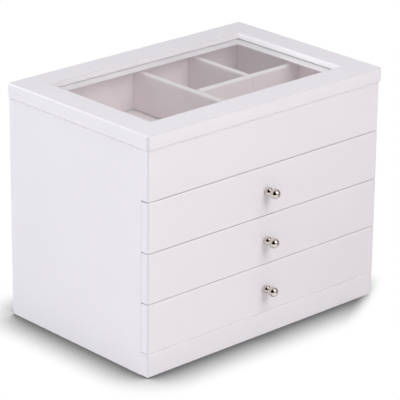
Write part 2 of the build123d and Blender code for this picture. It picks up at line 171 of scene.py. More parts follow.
slant = add_node(tree, "ShaderNodeVectorMath", {"operation": "ABSOLUTE"}, {0: normal})
slant_parts = add_node(tree, "ShaderNodeSeparateXYZ", inputs={"Vector": slant})
slant_x, slant_y, slant_z = (slant_parts.outputs[axis] for axis in "XYZ")
upright_edge = add_node(tree, "ShaderNodeMath", {"operation": "MULTIPLY"}, {0: slant_x, 1: slant_y})
sideways = add_node(tree, "ShaderNodeMath", {"operation": "MAXIMUM"}, {0: slant_x, 1: slant_y})
flat_edge = add_node(tree, "ShaderNodeMath", {"operation": "MULTIPLY"}, {0: slant_z, 1: sideways})
on_rim = add_node(
    tree, "ShaderNodeMath", {"operation": "GREATER_THAN"}, {0: place_parts.outputs["Z"], 1: rim_level}
)
rim_edge = add_node(tree, "ShaderNodeMath", {"operation": "MULTIPLY"}, {0: flat_edge, 1: on_rim})
slants_left = add_node(
    tree, "ShaderNodeMath", {"operation": "LESS_THAN"}, {0: normal_parts.outputs["X"], 1: left_slant}
)
left_rim = add_node(tree, "ShaderNodeMath", {"operation": "MULTIPLY"}, {0: rim_edge, 1: slants_left})
other_rim = add_node(tree, "ShaderNodeMath", {"operation": "SUBTRACT"}, {0: rim_edge, 1: left_rim})
any_edge = add_node(tree, "ShaderNodeMath", {"operation": "MAXIMUM"}, {0: upright_edge, 1: other_rim})
# Painted shade: the edges found here are mixed towards grey in the lacquer's colour below.
painted_edge_shade = add_node(tree, "ShaderNodeMapRange", inputs={"Value": any_edge, "From Min": 0.05, "From Max": 0.4})
print("the rim starts at", round(rim_level / MM), "mm")

# %% Lacquer: two walls of the lid's opening
square_on = 0.7  # past this part of its normal, a face counts as looking that way
wall_reach = 0.4 * MM
opening_walls = {"X": (117.5 * MM, 214.3 * MM), "Y": (68.0 * MM, 222.8 * MM)}  # where each stands and starts

on_wall = {}
for axis, (wall_place, wall_foot) in opening_walls.items():
    looks_back = add_node(
        tree, "ShaderNodeMath", {"operation": "LESS_THAN"}, {0: normal_parts.outputs[axis], 1: -square_on}
    )
    at_wall = add_node(
        tree,
        "ShaderNodeMath",
        {"operation": "COMPARE"},
        {0: place_parts.outputs[axis], 1: wall_place, 2: wall_reach},
    )
    above_foot = add_node(
        tree, "ShaderNodeMath", {"operation": "GREATER_THAN"}, {0: place_parts.outputs["Z"], 1: wall_foot}
    )
    wall_face = add_node(tree, "ShaderNodeMath", {"operation": "MULTIPLY"}, {0: looks_back, 1: at_wall})
    on_wall[axis] = add_node(tree, "ShaderNodeMath", {"operation": "MULTIPLY"}, {0: wall_face, 1: above_foot})
right_wall, back_wall = on_wall["X"], on_wall["Y"]
print("found the opening's walls at", [round(wall[0] / MM, 1) for wall in opening_walls.values()], "mm")

# %% Lacquer: its colour
# Painted shade: the opening's back wall above the glass is mixed part of the way to the same grey as the edges.
back_wall_painted_shade = 0.35

painted_shade_share = add_node(
    tree,
    "ShaderNodeMath",
    {"operation": "MULTIPLY_ADD", "use_clamp": True},
    {0: back_wall, 1: back_wall_painted_shade, 2: painted_edge_shade},
)
# The grey that the painted shade on the edges and the back wall mixes in.
lacquer_colour = add_node(
    tree,
    "ShaderNodeMix",
    {"data_type": "RGBA"},
    {"Factor": painted_shade_share, MIX_A: cloudy_white.outputs[MIX_OUT], MIX_B: linear("#D7D2D5")},
)
print("the opening's back wall is", back_wall_painted_shade, "of the way to the thin coat's grey")

# %% [markdown]
# ## Light that the renderer loses
# Three places stay too dark in a path tracer. In a hairline gap between two white boards light bounces dozens
# of times, more often than the renderer follows it. The glass throws a soft reflection on the opening's right
# wall, and a lamp's rays aren't traced through glass. On the lid's narrow left rim the highlight is thinner
# than a pixel. More bounces and samples would be slow, so the lacquer gives back a little light of its own
# there. It is weak, and Ambient Occlusion keeps it to the spots of a gap that are really shut in.

# %% Lacquer: light in the gaps
front_level = -93.5 * MM
left_level = -141.5 * MM
gap_reach = 1.5 * MM
left_gap_share = 0.7
# Height and light of the gaps under the lid, over the plinth and between two drawers.
gap_levels = [(214.0 * MM, 0.32), (23.0 * MM, 0.22), (70.8 * MM, 0.045)]

enclosed = add_node(tree, "ShaderNodeAmbientOcclusion", {"samples": 8}, {"Distance": 2 * gap_reach})
closed_share = add_node(
    tree, "ShaderNodeMapRange", inputs={"Value": enclosed.outputs["AO"], "From Min": 0.5, "From Max": 0.15}
)
at_front = add_node(
    tree, "ShaderNodeMath", {"operation": "LESS_THAN"}, {0: place_parts.outputs["Y"], 1: front_level}
)
at_left = add_node(
    tree, "ShaderNodeMath", {"operation": "LESS_THAN"}, {0: place_parts.outputs["X"], 1: left_level}
)
at_outside = add_node(
    tree,
    "ShaderNodeMath",
    {"operation": "MULTIPLY_ADD", "use_clamp": True},
    {0: at_left, 1: left_gap_share, 2: at_front},
)
closed_outside = add_node(tree, "ShaderNodeMath", {"operation": "MULTIPLY"}, {0: closed_share, 1: at_outside})
level_light = 0.0
for level, strength in gap_levels:
    near_level = add_node(
        tree, "ShaderNodeMath", {"operation": "COMPARE"}, {0: place_parts.outputs["Z"], 1: level, 2: gap_reach}
    )
    level_light = add_node(
        tree, "ShaderNodeMath", {"operation": "MULTIPLY_ADD"}, {0: near_level, 1: strength, 2: level_light}
    )
gap_light = add_node(tree, "ShaderNodeMath", {"operation": "MULTIPLY"}, {0: closed_outside, 1: level_light})
print("gaps lit at", [round(level / MM, 1) for level, strength in gap_levels], "mm")

# %% Lacquer: light on the right wall and the left rim
wall_light = add_node(
    tree,
    "ShaderNodeMapRange",
    inputs={
        "Value": place_parts.outputs["Y"],
        "From Min": 60 * MM,
        "From Max": -70 * MM,
        "To Min": 0.16,
        "To Max": 0.32,
    },
)
rim_light = add_node(
    tree,
    "ShaderNodeMapRange",
    inputs={
        "Value": place_parts.outputs["Y"],
        "From Min": -90 * MM,
        "From Max": 90 * MM,
        "To Min": 0.02,
        "To Max": 0.32,
    },
)
with_rim = add_node(
    tree, "ShaderNodeMath", {"operation": "MULTIPLY_ADD"}, {0: left_rim, 1: rim_light, 2: gap_light}
)
given_back = add_node(
    tree, "ShaderNodeMath", {"operation": "MULTIPLY_ADD"}, {0: right_wall, 1: wall_light, 2: with_rim}
)
print("the wall's light grows towards the front, the rim's towards the back")

# %% [markdown]
# ## The lacquer's shader
# One Principled shader does the rest: the satin base, a thin and softer clear coat over it, and the light given
# back.

# %% Lacquer: shader
lacquer = add_node(
    tree,
    "ShaderNodeBsdfPrincipled",
    inputs={
        "Base Color": lacquer_colour.outputs[MIX_OUT],
        "Roughness": lacquer_gloss,
        "IOR": 1.5,
        "Normal": peel_bump,
        "Coat Weight": 0.2,
        "Coat Roughness": 0.22,
        "Emission Color": linear("#FFFBFC"),
        "Emission Strength": given_back,
    },
)
add_node(tree, "ShaderNodeOutputMaterial", inputs={"Surface": lacquer})
print("made", white_lacquer.name)

# %% [markdown]
# ## Painted board
# Shelves and drawer boxes get one thin coat of matt paint. The fibreboard drinks it, so the surface stays a
# little warm and mottled, and the fibres show as a faint tooth.

# %% Painted board
tooth_size = 1.6 * MM
tooth_height = 0.06 * MM
mottle_size = 14 * MM

painted_board, tree = new_material("thin_white_paint_on_fibreboard")
place = add_node(tree, "ShaderNodeTexCoord").outputs["Object"]
mottle = add_node(
    tree, "ShaderNodeTexNoise", inputs={"Vector": place, "Scale": 1 / mottle_size, "Detail": 5.0, "Roughness": 0.6}
)
paint_colour = add_node(
    tree,
    "ShaderNodeMix",
    {"data_type": "RGBA"},
    {"Factor": mottle, MIX_A: linear("#E9E6E3"), MIX_B: linear("#DDD9D5")},
)
tooth = add_node(
    tree, "ShaderNodeTexNoise", inputs={"Vector": place, "Scale": 1 / tooth_size, "Detail": 4.0, "Roughness": 0.7}
)
paint_gloss = add_node(tree, "ShaderNodeMapRange", inputs={"Value": tooth, "To Min": 0.55, "To Max": 0.75})
tooth_bump = add_node(
    tree, "ShaderNodeBump", inputs={"Strength": 0.5, "Distance": tooth_height, "Height": tooth}
)
paint = add_node(
    tree,
    "ShaderNodeBsdfPrincipled",
    inputs={
        "Base Color": paint_colour.outputs[MIX_OUT],
        "Roughness": paint_gloss,
        "Normal": tooth_bump,
    },
)
add_node(tree, "ShaderNodeOutputMaterial", inputs={"Surface": paint})
print("made", painted_board.name)

# %% [markdown]
# ## Velvet
# The tray and drawers are lined with a short-pile velvet in a pale rosy grey. Its upright fibres lean a little
# this way and that, so it shows soft lighter and darker patches and a fine grain. Two noises make them.

# %% Velvet: nap and grain
nap_patch = 11 * MM
# A real pile is about 0.1 mm thick. It is drawn at 0.9 mm, the finest that shows in the render.
pile_grain = 0.9 * MM
pile_height = 0.15 * MM

velvet, tree = new_material("short_pile_velvet")
place = add_node(tree, "ShaderNodeTexCoord").outputs["Object"]
patches = add_node(
    tree,
    "ShaderNodeTexNoise",
    inputs={"Vector": place, "Scale": 1 / nap_patch, "Detail": 3.0, "Roughness": 0.55, "Distortion": 0.6},
)
grain = add_node(
    tree, "ShaderNodeTexNoise", inputs={"Vector": place, "Scale": 1 / pile_grain, "Detail": 2.0, "Roughness": 0.6}
)
nap = add_node(
    tree,
    "ShaderNodeMapRange",
    inputs={"Value": patches, "From Min": 0.3, "From Max": 0.7, "To Min": 0.2, "To Max": 0.8},
)
nap_colour = add_node(
    tree,
    "ShaderNodeMix",
    {"data_type": "RGBA"},
    {"Factor": nap, MIX_A: linear("#E1D0D6"), MIX_B: linear("#E9D9DE")},
)
pile_bump = add_node(tree, "ShaderNodeBump", inputs={"Strength": 0.4, "Distance": pile_height, "Height": grain})
print("nap in patches of", round(nap_patch / MM), "mm")

# %% [markdown]
# ## Painted light and shade on the velvet
# The divider tops and the floors, which face up, get painted light: they are mixed towards a paler colour. In
# the two back bins the faces that look left get painted shade: they are mixed towards a darker colour. The
# normal's parts and the place tell the faces apart.

# %% Velvet: shader
top_light_share = 0.6
left_painted_shade = 0.45
back_bins_from = {"X": 20 * MM, "Y": 5 * MM, "Z": 165 * MM}

pile_normal = add_node(tree, "ShaderNodeTexCoord").outputs["Normal"]
pile_facing = add_node(tree, "ShaderNodeSeparateXYZ", inputs={"Vector": pile_normal})
pile_place = add_node(tree, "ShaderNodeSeparateXYZ", inputs={"Vector": place})
# Painted light: faces that look up are mixed towards a paler colour.
facing_up = add_node(
    tree,
    "ShaderNodeMapRange",
    inputs={"Value": pile_facing.outputs["Z"], "From Min": 0.2, "From Max": 0.8, "To Max": top_light_share},
)
painted_top_light = add_node(
    tree,
    "ShaderNodeMix",
    {"data_type": "RGBA"},
    {"Factor": facing_up, MIX_A: nap_colour.outputs[MIX_OUT], MIX_B: linear("#F2E8EA")},
)
# Painted shade: faces that look left in the two back bins are mixed towards a darker colour.
shaded_left_faces = add_node(
    tree, "ShaderNodeMath", {"operation": "LESS_THAN"}, {0: pile_facing.outputs["X"], 1: -square_on}
)
for axis, level in back_bins_from.items():
    past_level = add_node(
        tree, "ShaderNodeMath", {"operation": "GREATER_THAN"}, {0: pile_place.outputs[axis], 1: level}
    )
    shaded_left_faces = add_node(tree, "ShaderNodeMath", {"operation": "MULTIPLY"}, {0: shaded_left_faces, 1: past_level})
left_shade_share = add_node(tree, "ShaderNodeMath", {"operation": "MULTIPLY"}, {0: shaded_left_faces, 1: left_painted_shade})
pile_colour = add_node(
    tree,
    "ShaderNodeMix",
    {"data_type": "RGBA"},
    {"Factor": left_shade_share, MIX_A: painted_top_light.outputs[MIX_OUT], MIX_B: linear("#C2B1BB")},
)
# The sheen is the pale bloom of fibre tips, seen where one looks along the cloth.
pile = add_node(
    tree,
    "ShaderNodeBsdfPrincipled",
    inputs={
        "Base Color": pile_colour.outputs[MIX_OUT],
        "Roughness": 0.95,
        "Specular IOR Level": 0.15,
        "Normal": pile_bump,
        "Sheen Weight": 0.35,
        "Sheen Roughness": 0.45,
        "Sheen Tint": linear("#F3E9E8"),
    },
)
add_node(tree, "ShaderNodeOutputMaterial", inputs={"Surface": pile})
print("made", velvet.name)

# %% [markdown]
# ## Felt
# The sheet under the base is pressed wool felt. It has no weave, only matted fibres, so a distorted noise gives
# it light and dark strands and a rough surface.

# %% Felt
fibre_size = 1.8 * MM
fibre_height = 0.2 * MM

felt, tree = new_material("pressed_wool_felt")
place = add_node(tree, "ShaderNodeTexCoord").outputs["Object"]
fibres = add_node(
    tree,
    "ShaderNodeTexNoise",
    inputs={"Vector": place, "Scale": 1 / fibre_size, "Detail": 6.0, "Roughness": 0.75, "Distortion": 2.0},
)
felt_colour = add_node(
    tree,
    "ShaderNodeMix",
    {"data_type": "RGBA"},
    {"Factor": fibres, MIX_A: linear("#A39A98"), MIX_B: linear("#C0B7B5")},
)
felt_bump = add_node(
    tree, "ShaderNodeBump", inputs={"Strength": 0.7, "Distance": fibre_height, "Height": fibres}
)
matted = add_node(
    tree,
    "ShaderNodeBsdfPrincipled",
    inputs={
        "Base Color": felt_colour.outputs[MIX_OUT],
        "Roughness": 1.0,
        "Specular IOR Level": 0.1,
        "Normal": felt_bump,
    },
)
add_node(tree, "ShaderNodeOutputMaterial", inputs={"Surface": matted})
print("made", felt.name)

# %% [markdown]
# ## Clear glass
# The pane is float glass, 3 mm thick. It bends what lies under it a little, mirrors the bright studio at this
# low angle, and has a trace of green. A lamp's rays can't be bent through glass in reasonable time, so for
# shadow and diffuse rays the pane is mostly transparent, and the tray under it stays lit. Each of its two faces
# mirrors a share of the light, so a ray loses that share twice, and one that skims the pane hardly gets in.
# Diffuse rays that come down on the pane from above meet the full glass, so that the lid's frame sees its
# reflection.

# %% Clear glass
glass_ior = 1.5
upward = 0.3

glass, tree = new_material("clear_float_glass")
rays = add_node(tree, "ShaderNodeLightPath")
from_lamp = add_node(
    tree,
    "ShaderNodeMath",
    {"operation": "MAXIMUM"},
    {0: rays.outputs["Is Shadow Ray"], 1: rays.outputs["Is Diffuse Ray"]},
)
mirrored = add_node(tree, "ShaderNodeFresnel", inputs={"IOR": glass_ior})
passed = add_node(
    tree, "ShaderNodeMath", {"operation": "MULTIPLY_ADD", "use_clamp": True}, {0: mirrored, 1: -2.0, 2: 1.0}
)
pane_side = add_node(tree, "ShaderNodeNewGeometry")
passed_once = add_node(
    tree, "ShaderNodeMath", {"operation": "MAXIMUM"}, {0: passed, 1: pane_side.outputs["Backfacing"]}
)
straight_share = add_node(tree, "ShaderNodeMath", {"operation": "MULTIPLY"}, {0: from_lamp, 1: passed_once})
pane_facing = add_node(tree, "ShaderNodeSeparateXYZ", inputs={"Vector": pane_side.outputs["Normal"]})
upper_face = add_node(
    tree, "ShaderNodeMath", {"operation": "GREATER_THAN"}, {0: pane_facing.outputs["Z"], 1: upward}
)
from_above = add_node(
    tree, "ShaderNodeMath", {"operation": "MULTIPLY"}, {0: upper_face, 1: rays.outputs["Is Diffuse Ray"]}
)
straight = add_node(
    tree, "ShaderNodeMath", {"operation": "SUBTRACT", "use_clamp": True}, {0: straight_share, 1: from_above}
)
float_glass = add_node(
    tree,
    "ShaderNodeBsdfPrincipled",
    inputs={
        "Base Color": linear("#F8FCFA"),
        "Roughness": 0.0,
        "IOR": glass_ior,
        "Transmission Weight": 1.0,
    },
)
passing = add_node(tree, "ShaderNodeBsdfTransparent", inputs={"Color": linear("#FBFDFC")})
pane = add_node(tree, "ShaderNodeMixShader", inputs={0: straight, 1: float_glass, 2: passing})
add_node(tree, "ShaderNodeOutputMaterial", inputs={"Surface": pane})
print("made", glass.name)

# %% [markdown]
# ## Metals and vinyl
# The knobs are turned brass, polished and plated with nickel, which mirrors the room with a warm grey tone. The
# hinges are stamped steel with the same plating over brushed metal, so theirs is a broader, streaked shine. The
# bumpers under the lid are clear soft vinyl.

# %% Polished nickel
polish_mark = 1.2 * MM

polished_nickel, tree = new_material("polished_nickel_plate")
place = add_node(tree, "ShaderNodeTexCoord").outputs["Object"]
marks = add_node(
    tree, "ShaderNodeTexNoise", inputs={"Vector": place, "Scale": 1 / polish_mark, "Detail": 4.0, "Roughness": 0.6}
)
nickel_gloss = add_node(tree, "ShaderNodeMapRange", inputs={"Value": marks, "To Min": 0.03, "To Max": 0.09})
nickel = add_node(
    tree,
    "ShaderNodeBsdfPrincipled",
    inputs={
        "Base Color": linear("#DCD3CD"),
        "Metallic": 1.0,
        "Roughness": nickel_gloss,
    },
)
add_node(tree, "ShaderNodeOutputMaterial", inputs={"Surface": nickel})
print("made", polished_nickel.name)

# %% Brushed hinge steel
brush_line = 0.5 * MM
brush_depth = 0.02 * MM
brush_stretch = 0.08

hinge_steel, tree = new_material("nickel_plated_brushed_steel")
place = add_node(tree, "ShaderNodeTexCoord").outputs["Object"]
along_hinge = add_node(tree, "ShaderNodeMapping", inputs={"Vector": place, "Scale": (brush_stretch, 1.0, 1.0)})
brushing = add_node(
    tree,
    "ShaderNodeTexNoise",
    inputs={"Vector": along_hinge, "Scale": 1 / brush_line, "Detail": 3.0, "Roughness": 0.6},
)
steel_gloss = add_node(tree, "ShaderNodeMapRange", inputs={"Value": brushing, "To Min": 0.2, "To Max": 0.42})
brush_bump = add_node(
    tree, "ShaderNodeBump", inputs={"Strength": 0.4, "Distance": brush_depth, "Height": brushing}
)
steel = add_node(
    tree,
    "ShaderNodeBsdfPrincipled",
    inputs={
        "Base Color": linear("#C9C5C0"),
        "Metallic": 1.0,
        "Roughness": steel_gloss,
        "Normal": brush_bump,
    },
)
add_node(tree, "ShaderNodeOutputMaterial", inputs={"Surface": steel})
print("made", hinge_steel.name)

# %% Clear vinyl
vinyl_bubble = 1.0 * MM

clear_vinyl, tree = new_material("clear_soft_vinyl")
place = add_node(tree, "ShaderNodeTexCoord").outputs["Object"]
bubbles = add_node(tree, "ShaderNodeTexNoise", inputs={"Vector": place, "Scale": 1 / vinyl_bubble, "Detail": 1.0})
vinyl_gloss = add_node(tree, "ShaderNodeMapRange", inputs={"Value": bubbles, "To Min": 0.15, "To Max": 0.3})
vinyl = add_node(
    tree,
    "ShaderNodeBsdfPrincipled",
    inputs={
        "Base Color": linear("#E9E9E4"),
        "Roughness": vinyl_gloss,
        "IOR": 1.53,
        "Transmission Weight": 0.7,
    },
)
add_node(tree, "ShaderNodeOutputMaterial", inputs={"Surface": vinyl})
print("made", clear_vinyl.name)

# %% [markdown]
# ## Finishes on the CAD pieces
# Every board, hinge and pane that comes from the CAD model already has its real shape, so it only needs its
# finish. A piece's name says what it is made of. The finishes go by the names that the model's own material
# slots have.

# %% Give each CAD piece its finish
finish_of_slot = {
    "white_lacquer": white_lacquer,
    "inner_board": painted_board,
    "drawer_board": painted_board,
    "velvet": velvet,
    "felt": felt,
    "glass": glass,
    "polished_nickel": polished_nickel,
    "hinge_steel": hinge_steel,
    "clear_bumper": clear_vinyl,
}


def finish_for(name):
    """The slot of the finish that a CAD piece has, by the piece's name."""
    if name == "lid_glass":
        return "glass"
    if name == "lid_bumpers":
        return "clear_bumper"
    if name == "base_felt":
        return "felt"
    if name.startswith("hinge_"):
        return "hinge_steel"
    if "knob" in name:
        return "polished_nickel"
    if "lining" in name or name.startswith("divider_"):
        return "velvet"
    if name in ("base_board", "tray_floor") or name.startswith("shelf_"):
        return "inner_board"
    if name.startswith("drawer_") and not name.endswith("_front"):
        return "drawer_board"
    return "white_lacquer"


for name, piece in nodes.items():
    piece.data.materials.clear()
    piece.data.materials.append(finish_of_slot[finish_for(name)])
print("finished", len(nodes), "CAD pieces")

# %% [markdown]
# ## Helpers for meshes
# Each new piece is built in a bmesh, in metres and in the box's own place, and its object stays at the origin.
# A padded board is a box that is cut near its edges and then pulled in there, as fabric does where it is
# wrapped round an edge. A Subdivision modifier rounds it off.

# %% Mesh helpers
WELD = 0.001 * MM  # points closer than this are one


def make_piece(bm, name, body, slot, subdivisions=0):
    """Turn a bmesh into a smooth piece that rides on a body."""
    bmesh.ops.recalc_face_normals(bm, faces=bm.faces)
    mesh = bpy.data.meshes.new(name)
    bm.to_mesh(mesh)
    bm.free()
    mesh.shade_smooth()
    mesh.materials.append(finish_of_slot[slot])
    piece = bpy.data.objects.new(name, mesh)
    bpy.context.scene.collection.objects.link(piece)
    if subdivisions:
        rounding = piece.modifiers.new("rounding", "SUBSURF")
        rounding.levels = rounding.render_levels = subdivisions
    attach(piece, body)
    return piece


def add_box(bm, low, high):
    """Add a box between two corners and return its geometry."""
    matrix = Matrix.Translation((low + high) / 2) @ Matrix.Diagonal((*(high - low), 1))
    corners = bmesh.ops.create_cube(bm, size=1, matrix=matrix)["verts"]
    edges = {edge for corner in corners for edge in corner.link_edges}
    faces = {face for corner in corners for face in corner.link_faces}
    return [*corners, *edges, *faces]


def cut_across(bm, geometry, axis, places):
    """Cut geometry with planes square to an axis, at each place along it."""
    normal = Vector([float(i == axis) for i in range(3)])
    for at in places:
        cut = bmesh.ops.bisect_plane(bm, geom=geometry, dist=WELD, plane_co=normal * at, plane_no=normal)
        geometry = cut["geom"]
    return geometry


def cut_places(low, high, near_edge, spacing):
    """Places for cuts between two ends: a few near each end and the rest evenly apart."""
    inner_low, inner_high = low + near_edge[-1], high - near_edge[-1]
    count = max(1, round((inner_high - inner_low) / spacing))
    middle = [inner_low + (inner_high - inner_low) * i / count for i in range(count + 1)]
    return sorted({*[low + d for d in near_edge[:-1]], *middle, *[high - d for d in near_edge[:-1]]})


print("mesh helpers ready")

# %% [markdown]
# ## Lining pads
# The tray is lined with boards padded and wrapped in velvet: one on each wall and one on the floor of each bin.
# The fabric is pulled round each board's edges, so a pad is thickest in the middle and rolls away near its
# border, which is what makes the corners of the bins look soft. A cloth simulation can't make a pad only 2 mm
# thick, so the roll is worked out from each point's distance to the border. A pad may also have a line pressed
# in near its border.

# %% Pads for the walls and floor of the tray
pad_edge_cuts = [0.5 * MM, 1.6 * MM, 3.2 * MM, 6.0 * MM, 10.0 * MM]
pad_roll = 8.0 * MM
pad_hem = 0.3 * MM
crease_depth = 0.4 * MM
crease_width = 1.3 * MM
ripple_length = 19.0 * MM
ripple_height = 0.12 * MM


def roll_share(distance, reach):
    """0 at a pad's border and 1 past its roll, along a quarter of an ellipse."""
    t = min(1.0, max(0.0, distance / reach))
    return math.sqrt(1 - (1 - t) ** 2)


def add_pad(bm, low, high, axis, side, sink, spacing=14 * MM, border=None):
    """Add a pad that shows its face on one side of an axis and rolls away by sink at its border."""
    across = [i for i in range(3) if i != axis]
    geometry = add_box(bm, low, high)
    for i in across:
        geometry = cut_across(bm, geometry, i, cut_places(low[i], high[i], pad_edge_cuts, spacing))
    face_level = high[axis] if side > 0 else low[axis]
    middle = (low[axis] + high[axis]) / 2
    for vertex in {v for v in geometry if isinstance(v, bmesh.types.BMVert)}:
        place = vertex.co
        if (place[axis] - middle) * side < 0:
            continue
        near = [min(place[i] - low[i], high[i] - place[i]) for i in across]
        raised = roll_share(near[0] + pad_hem, pad_roll) * roll_share(near[1] + pad_hem, pad_roll)
        ripple = ripple_height * (0.5 + 0.5 * noise.noise(place / ripple_length))
        crease = 0.0
        if border is not None:
            crease = crease_depth * max(0.0, 1 - abs(min(near) - border) / crease_width)
        place[axis] = face_level - side * (sink * (1 - raised) + ripple * raised + crease)


tray_low, tray_high = {}, {}
for name in ("floor", "front", "back", "left", "right"):
    tray_low[name], tray_high[name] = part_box(f"tray_lining_{name}")
wall_pads = {"front": (1, 1), "back": (1, -1), "left": (0, 1), "right": (0, -1)}  # axis, and way it faces
for name, (axis, side) in wall_pads.items():
    bm = bmesh.new()
    add_pad(bm, tray_low[name], tray_high[name], axis, side, sink=0.7 * MM)
    pad = make_piece(bm, f"velvet_wall_{name}", "case", "velvet", subdivisions=2)
    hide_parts(f"tray_lining_{name}")
    print("made", pad.name, "faces:", len(pad.data.polygons))

# %% [markdown]
# ## Dividers
# Three boards wrapped in the same velvet split the tray. Their top edges are round and catch the light, so they
# show as pale bands. The fabric is wrapped round and glued in a butt seam, a fine upright line on the cross
# divider.

# %% Dividers
divider_edge_cuts = [0.9 * MM, 2.4 * MM, 5.0 * MM, 9.0 * MM]
divider_spacing = 12 * MM
divider_heights = [14 * MM, 24 * MM]
divider_top_round = 2.2 * MM
divider_top_cut = 4 * MM
divider_top_ripple = 3 * MM
divider_pull = 0.45 * MM
divider_hem = 0.4 * MM
end_roll, foot_roll = 7 * MM, 6 * MM
seam_half_width = 0.5 * MM
seam_reach = 0.2 * MM
seam_depth = 0.7 * MM
seam_x = 71.5 * MM


def make_divider(name, along, seam=None):
    """A wrapped divider in place of a CAD one, running along an axis, with an optional seam across its front."""
    low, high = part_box(name)
    thin = 1 - along
    bm = bmesh.new()
    add_box(bm, low, high)
    top_edges = []
    for edge in bm.edges:
        first, last = (v.co for v in edge.verts)
        if min(first.z, last.z) > high.z - MM and abs((first - last)[along]) > MM:
            top_edges.append(edge)
    bmesh.ops.bevel(
        bm,
        geom=top_edges,
        offset=divider_top_round,
        offset_type="OFFSET",
        affect="EDGES",
        segments=3,
        profile=0.5,
        material=-1,
    )
    geometry = [*bm.verts, *bm.edges, *bm.faces]
    places = cut_places(low[along], high[along], divider_edge_cuts, divider_spacing)
    if seam is not None:
        places = sorted({*places, *[seam + step * seam_half_width for step in (-2, -1, 0, 1)]})
    geometry = cut_across(bm, geometry, along, places)
    heights = [low.z + up for up in divider_edge_cuts[:3] + divider_heights] + [high.z - divider_top_cut]
    cut_across(bm, geometry, 2, heights)
    centre = (low[thin] + high[thin]) / 2
    for vertex in bm.verts:
        place = vertex.co
        end = min(place[along] - low[along], high[along] - place[along])
        foot = place.z - low.z
        pulled = 1 - roll_share(end + divider_hem, end_roll) * roll_share(foot + divider_hem, foot_roll)
        side = 1 if place[thin] > centre else -1
        ripple = 0.5 * ripple_height * (1 + noise.noise(place / ripple_length))
        place[thin] -= side * (divider_pull * pulled + ripple)
        if high.z - place.z < divider_top_ripple:
            place.z -= ripple
        if seam is not None and side < 0 and abs(place[along] - seam) < seam_reach:
            place[thin] += seam_depth
    piece = make_piece(bm, f"velvet_{name}", "case", "velvet", subdivisions=2)
    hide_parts(name)
    print("made", piece.name, "faces:", len(piece.data.polygons))


make_divider("divider_long", along=1)
make_divider("divider_cross", along=0, seam=seam_x)
make_divider("divider_short", along=1)

# %% [markdown]
# ## Floor pads
# Each bin has its own pad on the tray's floor, with a pressed line a few millimetres inside its border. The
# pads stop just short of the walls and dividers.

# %% Floor pads, one in each bin
floor_low, floor_high = tray_low["floor"], tray_high["floor"]
left_x, right_x = tray_high["left"].x, tray_low["right"].x
front_y, back_y = tray_high["front"].y, tray_low["back"].y
long_low, long_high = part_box("divider_long")
cross_low, cross_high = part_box("divider_cross")
short_low, short_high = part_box("divider_short")
bins = {
    "left": (left_x, long_low.x, front_y, back_y),
    "front": (long_high.x, right_x, front_y, cross_low.y),
    "middle": (long_high.x, short_low.x, cross_high.y, back_y),
    "right": (short_high.x, right_x, cross_high.y, back_y),
}
pad_gap = 0.1 * MM
pad_border = 3.2 * MM
for name, (x0, x1, y0, y1) in bins.items():
    bm = bmesh.new()
    low = Vector((x0 + pad_gap, y0 + pad_gap, floor_low.z))
    high = Vector((x1 - pad_gap, y1 - pad_gap, floor_high.z))
    add_pad(bm, low, high, 2, 1, sink=0.45 * MM, border=pad_border)
    pad = make_piece(bm, f"velvet_floor_{name}", "case", "velvet", subdivisions=2)
    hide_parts("tray_lining_floor")
    print("made", pad.name, "faces:", len(pad.data.polygons))

# %% [markdown]
# ## Drawer linings
# Each drawer has the same velvet on its floor and walls, as five thin wrapped boards.

# %% Drawer linings
drawer_wall = 1.5 * MM
drawer_sink = 0.5 * MM
drawer_spacing = 18 * MM

for number in (1, 2, 3):
    body = f"drawer_{number}"
    low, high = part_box(f"{body}_lining")
    bm = bmesh.new()
    inner = Vector((low.x + drawer_wall, low.y + drawer_wall, low.z))
    outer = Vector((high.x - drawer_wall, high.y - drawer_wall, low.z + drawer_wall))
    add_pad(bm, inner, outer, 2, 1, sink=drawer_sink, spacing=drawer_spacing, border=pad_border)
    walls = [
        ((low.x, low.y, low.z), (high.x, low.y + drawer_wall, high.z), 1, 1),
        ((low.x, high.y - drawer_wall, low.z), (high.x, high.y, high.z), 1, -1),
        ((low.x, low.y + drawer_wall, low.z), (low.x + drawer_wall, high.y - drawer_wall, high.z), 0, 1),
        ((high.x - drawer_wall, low.y + drawer_wall, low.z), (high.x, high.y - drawer_wall, high.z), 0, -1),
    ]
    for wall_low, wall_high, axis, side in walls:
        add_pad(bm, Vector(wall_low), Vector(wall_high), axis, side, sink=drawer_sink, spacing=drawer_spacing)
    lining = make_piece(bm, f"{body}_velvet", body, "velvet", subdivisions=1)
    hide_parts(f"{body}_lining")
    print("made", lining.name, "faces:", len(lining.data.polygons))

# %% [markdown]
# ## Felt under the base
# The felt is one sheet with rounded corners, glued flat, so it is a rounded rectangle with a real thickness.

# %% Base felt
felt_corner = 1.2 * MM
felt_ease = 0.25 * MM

low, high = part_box("base_felt")
bm = bmesh.new()
add_box(bm, low, high)
upright = [edge for edge in bm.edges if abs((edge.verts[0].co - edge.verts[1].co).z) > 0.5 * MM]
bmesh.ops.bevel(
    bm, geom=upright, offset=felt_corner, offset_type="OFFSET", affect="EDGES", segments=6, profile=0.5, material=-1
)
rims = [edge for edge in bm.edges if abs((edge.verts[0].co - edge.verts[1].co).z) < 0.1 * MM]
bmesh.ops.bevel(
    bm, geom=rims, offset=felt_ease, offset_type="OFFSET", affect="EDGES", segments=2, profile=0.5, material=-1
)
felt_sheet = make_piece(bm, "felt_under_base", "case", "felt")
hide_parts("base_felt")
print("made", felt_sheet.name, "faces:", len(felt_sheet.data.polygons))

# %% [markdown]
# ## Knobs
# A knob is turned from one rod: a small ball against the drawer, a neck, and a larger ball. Its outline is
# drawn as a chain of points and spun round the knob's axis, which is just how it is turned on a lathe.

# %% Knobs
rear_radius, rear_centre = 4.2 * MM, 2.4 * MM
front_radius, neck_radius = 4.9 * MM, 2.4 * MM
rear_steps, front_steps = 12, 20


